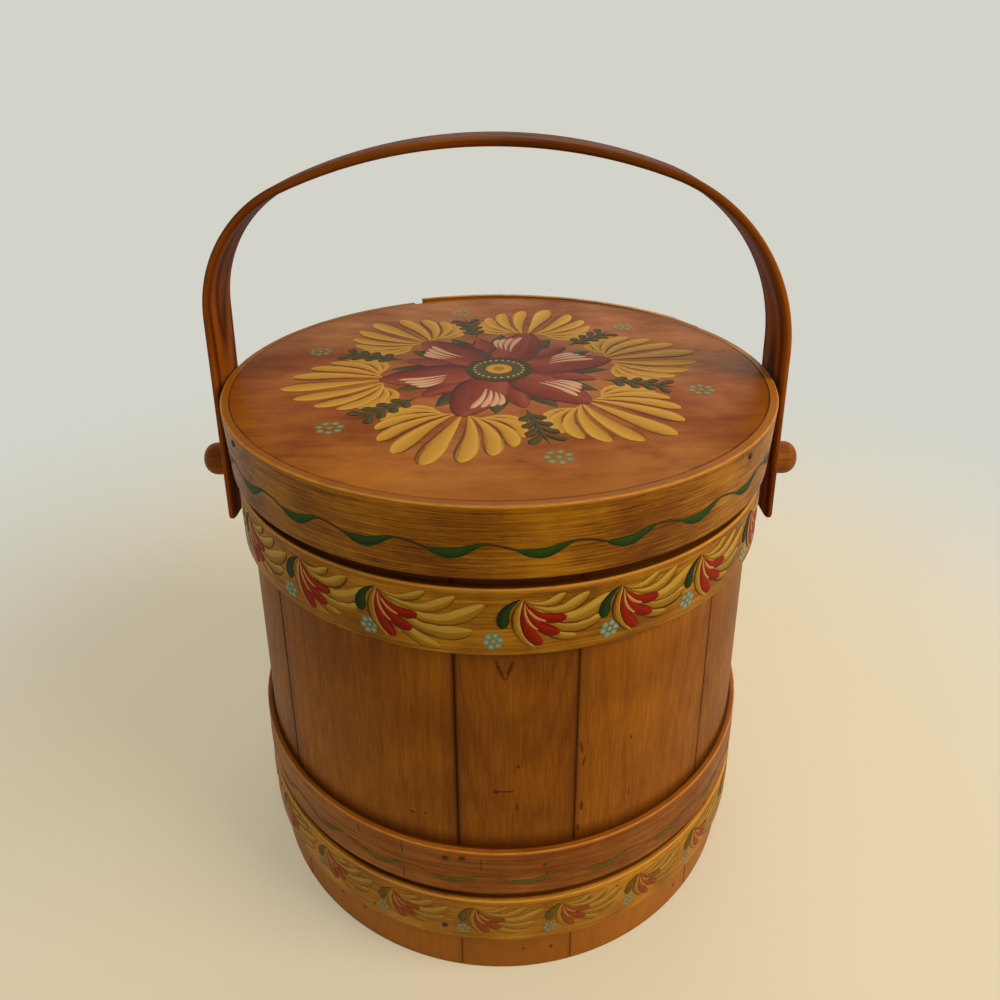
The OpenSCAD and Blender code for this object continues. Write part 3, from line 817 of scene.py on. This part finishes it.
HOOP_OCHRE = paint_material("paint_hoop_ochre", [
    (0.0, "3f2205"), (0.1, "66400a"), (0.2, "8a6212"), (0.46, "936a18"), (0.56, "ad832c"), (0.9, "b48d3a"),
    (1.0, "8a6212")])
HOOP_RED = paint_material("paint_hoop_red", [
    (0.0, "480c02"), (0.14, "701204"), (0.5, "821404"), (0.8, "901e06"), (1.0, "701204")])
HOOP_GREEN = paint_material("paint_hoop_green", [
    (0.0, "101a08"), (0.3, "1a2a0d"), (0.8, "243812"), (1.0, "1a2a0d")])
VINE_GREEN = paint_material("paint_vine_green", [
    (0.0, "16260a"), (0.3, "20360e"), (0.8, "294313"), (1.0, "20360e")])
STEM_BROWN = paint_material("paint_stem_brown", [(0.0, "2c2006"), (0.5, "40300c"), (1.0, "4a3a10")])
PALE_BLUE = paint_material("paint_pale_blue", [
    (0.0, "464c2e"), (0.35, "68765a"), (0.9, "7c8c6e"), (1.0, "88987c")])
HOOP_CREAM = paint_material("paint_hoop_cream", [(0.0, "8a5a22"), (0.3, "a87a3a"), (1.0, "b48a46")])

# Angle and length of each stroke of a spray, how far it bows downwards, and its width
WING = [
    (-42, 29.0, 4.6, 6.6), (-20, 34.5, 7.4, 8.0), (-2, 36.0, 9.6, 7.6),
    (3, 26.5, 6.2, 5.8), (8, 16.5, 3.0, 4.2),
]
RED_FAN = [(-71, 23.3, 3.6, 5.2), (-48, 22.6, 3.8, 5.2), (-27, 20.0, 3.8, 4.8)]

# How many layers stand between the wood and each part of a spray
NEXT_COAT = 0.8         # from one stroke of a wing or fan to the next
OUTLINE_COAT = 3.4
LEAF_COAT = 3.6
RED_COAT = 4.2
FINE_COAT = 6.6


def floral_band(node, body, slot, sprays, root_z, size):
    """Sprays of comma strokes round a hoop: a leaf, three red strokes, a wing of plumes and a dot flower.

    Each spray is its bearing, how far its wing is drawn out, and where its flower stands beside its root."""
    ochre = Paint(f"{node}_plumes", body, slot, HOOP_OCHRE)
    red = Paint(f"{node}_red_strokes", body, slot, HOOP_RED)
    green = Paint(f"{node}_leaves", body, slot, HOOP_GREEN)
    pale = Paint(f"{node}_dots", body, slot, PALE_BLUE)
    cream = Paint(f"{node}_fine_strokes", body, slot, HOOP_CREAM)
    for bearing, reach, flower_x in sprays:
        place = on_strip(node, bearing, root_z)

        def stroke(paint, x, y, angle, length, bow, width, shape, layer):
            line = bend((x * size, y * size), angle, length * size, bow * size)
            paint.stroke(place, line, width * size, shape, layer)

        stroke(green, -0.9, -0.2, -116, 15.8, 3.2, 5.2, comma, LEAF_COAT)
        stroke(ochre, -0.3, -0.5, -77, 25.0, 4.4, 5.4, leaf, OUTLINE_COAT)
        for i, (angle, length, bow, width) in enumerate(WING):
            stroke(ochre, 1.0, -1.0, angle, length * reach, bow, width, comma, NEXT_COAT * i)
        for i, (angle, length, bow, width) in enumerate(RED_FAN):
            stroke(red, 0.5, -1.0, angle, length, bow, width, comma, RED_COAT + NEXT_COAT * i)
        for angle, length in ((-60, 19.0), (-37, 17.5)):
            stroke(cream, 0.8, -1.2, angle, length, 3.7, 1.3, leaf, FINE_COAT)
        flower = Vector((flower_x, -20.6)) * size
        for k in range(6):
            pale.dot(place, flower + unit(math.radians(60 * k + 12)) * 3.0 * size, 1.6 * size, 0, 0.14)
        pale.dot(place, flower, 1.3 * size, 0.5, 0.14)
    for paint in (ochre, red, green, pale, cream):
        paint.finish()


VINE_TROUGH = 0.05      # where a vine is lowest, as a share of one repeat
VINE_CREST = 0.46       # where it is highest


def wave(t):
    """Height of a vine from 0 to 1, at a share t of its repeat."""
    t = (t - VINE_TROUGH) % 1.0
    climb = VINE_CREST - VINE_TROUGH
    turn = t / climb if t < climb else 1 + (t - climb) / (1 - climb)
    return (1 - math.cos(math.pi * turn)) / 2


def skewed_leaf(u):
    """Width along a leaf that is thickest before its middle and ends in a long point."""
    return math.sin(math.pi * u ** 0.78) ** 1.2 if 0 < u < 1 else 0.0


def vine(node, body, slot, phase, repeats, trough_z, rise, thickness, stem):
    """A running vine: a thick leaf fills each trough and climbs, and a thin stem falls to the next."""
    leaves = Paint(f"{node}_vine", body, slot, VINE_GREEN)
    stems = Paint(f"{node}_stem", body, slot, STEM_BROWN)
    r = RIM_R if node == "lid_rim" else cone_r(trough_z) + HOOP_OUT
    pitch = 2 * math.pi * r / repeats

    def run(t0, t1):
        return lambda u: Vector((pitch * (t0 + (t1 - t0) * u), rise * wave(t0 + (t1 - t0) * u)))

    for k in range(repeats):
        bearing = phase + 360 * k / repeats
        place = on_strip(node, bearing, trough_z)
        for paint, t0, t1, width, shape in ((leaves, -0.24, 0.5, thickness, skewed_leaf),
                                            (stems, 0.42, 0.82, stem, lambda u: 1.0)):
            from_lap = (bearing + 360 * t0 / repeats - LAP_END[node]) % 360
            if from_lap + 360 * (t1 - t0) / repeats > 360:
                continue
            paint.stroke(place, run(t0, t1), width, shape, layer=int(paint is leaves),
                         steps=12, round_end=False)
    leaves.finish()
    stems.finish()


TOP_SPRAYS = [
    (-38.0, 1.0, -9.0), (-20.9, 1.25, -4.4), (4.2, 1.0, -12.4), (21.6, 1.0, -5.6), (39.5, 1.0, -8.4),
]
TOP_SPRAYS += [(39.5 + 20.2 * k, 1.0 + 0.05 * (k % 3), -8.0) for k in range(1, 14)]
BOTTOM_SPRAYS = [(-21.9 + 17.14 * k, 1.0 + 0.06 * (k * 2 % 3), -8.0) for k in range(21)]
floral_band("top_hoop", "bucket", "floral_hoop", TOP_SPRAYS, 249.6, 1.0)
floral_band("bottom_hoop", "bucket", "floral_hoop", BOTTOM_SPRAYS, 57.0, 0.86)
vine("lower_hoop", "bucket", "vine_hoop", -10.1, 24, 77.2, 4.6, 3.7, 1.0)
vine("lid_rim", "lid", "lid_rim", -8.2, 25, 272.4, 4.6, 4.7, 1.1)


LID_OCHRE = paint_material("paint_lid_ochre", [
    (0.0, "4c2608"), (0.1, "7a4a0c"), (0.2, "b07c1c"), (0.6, "be8b28"), (0.9, "ca9838"), (1.0, "a06c18"),
], wear=0.15)
LID_RED = paint_material("paint_lid_red", [
    (0.0, "3c1408"), (0.15, "6a2410"), (0.5, "7d3018"), (0.85, "8e4026"), (1.0, "6a2410")], wear=0.3)
LID_GREEN = paint_material("paint_lid_green", [
    (0.0, "2a2408"), (0.3, "3e3611"), (0.8, "4e461c"), (1.0, "3e3611")], wear=0.3)
LID_CREAM = paint_material("paint_lid_cream", [
    (0.0, "94583a"), (0.2, "c08c68"), (0.8, "cfa682"), (1.0, "c08c68")], wear=0.12)
LID_PALE = paint_material("paint_lid_pale", [
    (0.0, "565733"), (0.4, "6f7046"), (0.9, "7e8054"), (1.0, "8a8b62")])


def rosette():
    """A six-fold folk rosette: a ringed eye, twelve petals, mirrored plumes, sprigs and dot flowers."""
    ochre = Paint("lid_plumes", "lid", "lid_board", LID_OCHRE)
    red = Paint("lid_petals", "lid", "lid_board", LID_RED)
    green = Paint("lid_leaves", "lid", "lid_board", LID_GREEN)
    cream = Paint("lid_cream_strokes", "lid", "lid_board", LID_CREAM)
    pale = Paint("lid_dots", "lid", "lid_board", LID_PALE)
    centre = on_lid(ROSETTE_TURN)
    green.dot(centre, (0, 0), 16.0, 5, 0.1, 48)
    ochre.dot(centre, (0, 0), 6.4, 6.5, 0.1, 36)
    for k in range(24):
        cream.dot(centre, unit(2 * math.pi * (k + 0.5) / 24) * 11.6, 0.7, 6.5, 0.1)
    for k in range(12):
        place = on_lid(ROSETTE_TURN + 30 * k)
        green.stroke(on_lid(ROSETTE_TURN + 30 * k + 15), bend((20, 0), 0, 32.0, 0.0), 12.0, leaf, 0)
        if k % 2:
            red.stroke(place, bend((14.0, 0), 0, 33.0, 0.0), 15.5, petal, 1, steps=12)
            continue
        red.stroke(place, bend((13.0, 0), 0, 44.0, 0.0), 28.0, petal, 2, steps=14)
        for j in range(4):
            start = (23.0 + 1.6 * j, 0.8 + 2.4 * j)
            cream.stroke(place, bend(start, 2 + 5 * j, 25.0 - 3.6 * j, -1.6), 3.3, comma, 4)
    for k in range(6):
        place = on_lid(ROSETTE_TURN + 60 * k)
        ochre.stroke(place, bend((54.0, 0), 0, 47.0, 0.0), 10.4, comma, 2)
        for mirror in (1, -1):
            for j in range(5):
                start = (53.0 + 1.2 * j, mirror * (1.8 + 1.3 * j))
                angle = mirror * (15 + 16 * j)
                ochre.stroke(place, bend(start, angle, 44.0 - 5.6 * j, -mirror * (2.6 + 1.4 * j)),
                             9.2 - 0.8 * j, comma, 1.6 - 0.35 * j, flip=mirror < 0)
        between = on_lid(ROSETTE_TURN + 60 * k + 30)
        green.stroke(between, bend((49.0, 0), 0, 34.0, 0.0), 2.6, leaf, 3)
        for mirror in (1, -1):
            for j in range(4):
                green.stroke(between, bend((53.0 + 6.4 * j, 0.3 * mirror), mirror * 42, 8.4 + 0.9 * j,
                                           mirror * 1.2), 4.2, comma, 3.3)
        flower = Vector((94.0, 0))
        for j in range(7):
            pale.dot(between, flower + unit(2 * math.pi * j / 7) * 4.4, 1.7, 0, 0.12)
        pale.dot(between, flower, 1.5, 0, 0.12)
    for paint in (ochre, red, green, cream, pale):
        paint.finish()


rosette()


# Camera, lights and floor

BACKDROP = "d3d3ca"
AMBIENT = 0.46
FLOOR_R = 9.0
CAMERA_AT = Vector((3.3, -375.4, 434.9)) * MM
CAMERA_DOWN = 30.61     # degrees below level
CAMERA_LEFT = 0.49      # degrees turned to the left
CAMERA_ROLL = -0.37
CAMERA_LENS = 26.64


def camera():
    """The photograph's view."""
    data = bpy.data.cameras.new("camera")
    data.sensor_width = 36.0
    data.lens = CAMERA_LENS
    made = new_object("camera", data)
    turn = Matrix.Rotation(math.radians(CAMERA_LEFT), 4, "Z")
    tilt = Matrix.Rotation(math.radians(90 - CAMERA_DOWN), 4, "X")
    roll = Matrix.Rotation(math.radians(CAMERA_ROLL), 4, "Z")
    made.matrix_world = Matrix.Translation(CAMERA_AT) @ turn @ tilt @ roll
    bpy.context.scene.camera = made


def lamp(name, place, size, power, colour):
    """A soft square lamp that faces the middle of the object."""
    data = bpy.data.lights.new(name, "AREA")
    data.size = size
    data.energy = power
    data.color = rgb(colour)[:3]
    made = new_object(name, data)
    made.location = place
    made.rotation_euler = (Vector((0, 0, 0.18)) - Vector(place)).to_track_quat("-Z", "Y").to_euler()


def seen_rays(tree):
    """1 for rays that show a surface as it is, 0 for rays that gather its light."""
    rays = tree.nodes.new("ShaderNodeLightPath")
    total = rays.outputs["Is Camera Ray"]
    for name in ("Is Glossy Ray", "Is Transmission Ray"):
        add = tree.nodes.new("ShaderNodeMath")
        add.operation = "ADD"
        add.use_clamp = True
        tree.links.new(total, add.inputs[0])
        tree.links.new(rays.outputs[name], add.inputs[1])
        total = add.outputs[0]
    return total


def world():
    made = bpy.data.worlds.new("studio")
    bpy.context.scene.world = made
    made.use_nodes = True
    tree = made.node_tree
    tree.nodes.clear()
    light = tree.nodes.new("ShaderNodeBackground")
    light.inputs["Color"].default_value = rgb("f4f1ea")
    light.inputs["Strength"].default_value = AMBIENT
    backdrop = tree.nodes.new("ShaderNodeBackground")
    backdrop.inputs["Color"].default_value = rgb(BACKDROP)
    mix = tree.nodes.new("ShaderNodeMixShader")
    tree.links.new(seen_rays(tree), mix.inputs[0])
    tree.links.new(light.outputs[0], mix.inputs[1])
    tree.links.new(backdrop.outputs[0], mix.inputs[2])
    output = tree.nodes.new("ShaderNodeOutputWorld")
    tree.links.new(mix.outputs[0], output.inputs[0])


def floor():
    """A plain pale floor whose warm colour fades into the backdrop away from the object."""
    mesh = bmesh.new()
    bmesh.ops.create_circle(mesh, cap_ends=True, segments=96, radius=FLOOR_R)
    data = bpy.data.meshes.new("floor")
    mesh.to_mesh(data)
    mesh.free()
    s = Shader("floor")
    x, y, _ = flat_coords(s)
    reach = s.math("SQRT", s.add(s.times(x, x), s.times(y, y)))
    colour = s.mix(s.step(reach, 200.0, 700.0), rgb("dfceac"), rgb(BACKDROP))
    ground = s.node("ShaderNodeBsdfPrincipled", {
        "Base Color": colour, "Roughness": 0.85, "Specular IOR Level": 0.2,
    })
    seen = seen_rays(s.tree)
    pale = s.node("ShaderNodeEmission", {"Color": rgb("e8dfc1"), "Strength": 1.0})
    near = s.node("ShaderNodeMixShader", {0: s.times(seen, 0.34), 1: ground.outputs[0], 2: pale.outputs[0]})
    far = s.node("ShaderNodeEmission", {"Color": rgb(BACKDROP), "Strength": 1.0})
    fade = s.times(s.step(reach, 330.0, 900.0), seen)
    mix = s.node("ShaderNodeMixShader", {0: fade, 1: near.outputs[0], 2: far.outputs[0]})
    s.node("ShaderNodeOutputMaterial", {0: mix.outputs[0]})
    data.materials.append(s.material)
    new_object("floor", data)


camera()
lamp("key", (1.5, -0.6, 1.45), 1.1, 34.0, "fff0da")
lamp("fill", (-1.5, -0.8, 1.1), 1.5, 3.0, "e8eaee")
lamp("back", (0.3, 1.5, 1.5), 1.4, 8.0, "fbf6ee")
world()
floor()
bpy.context.scene.view_settings.view_transform = "Standard"
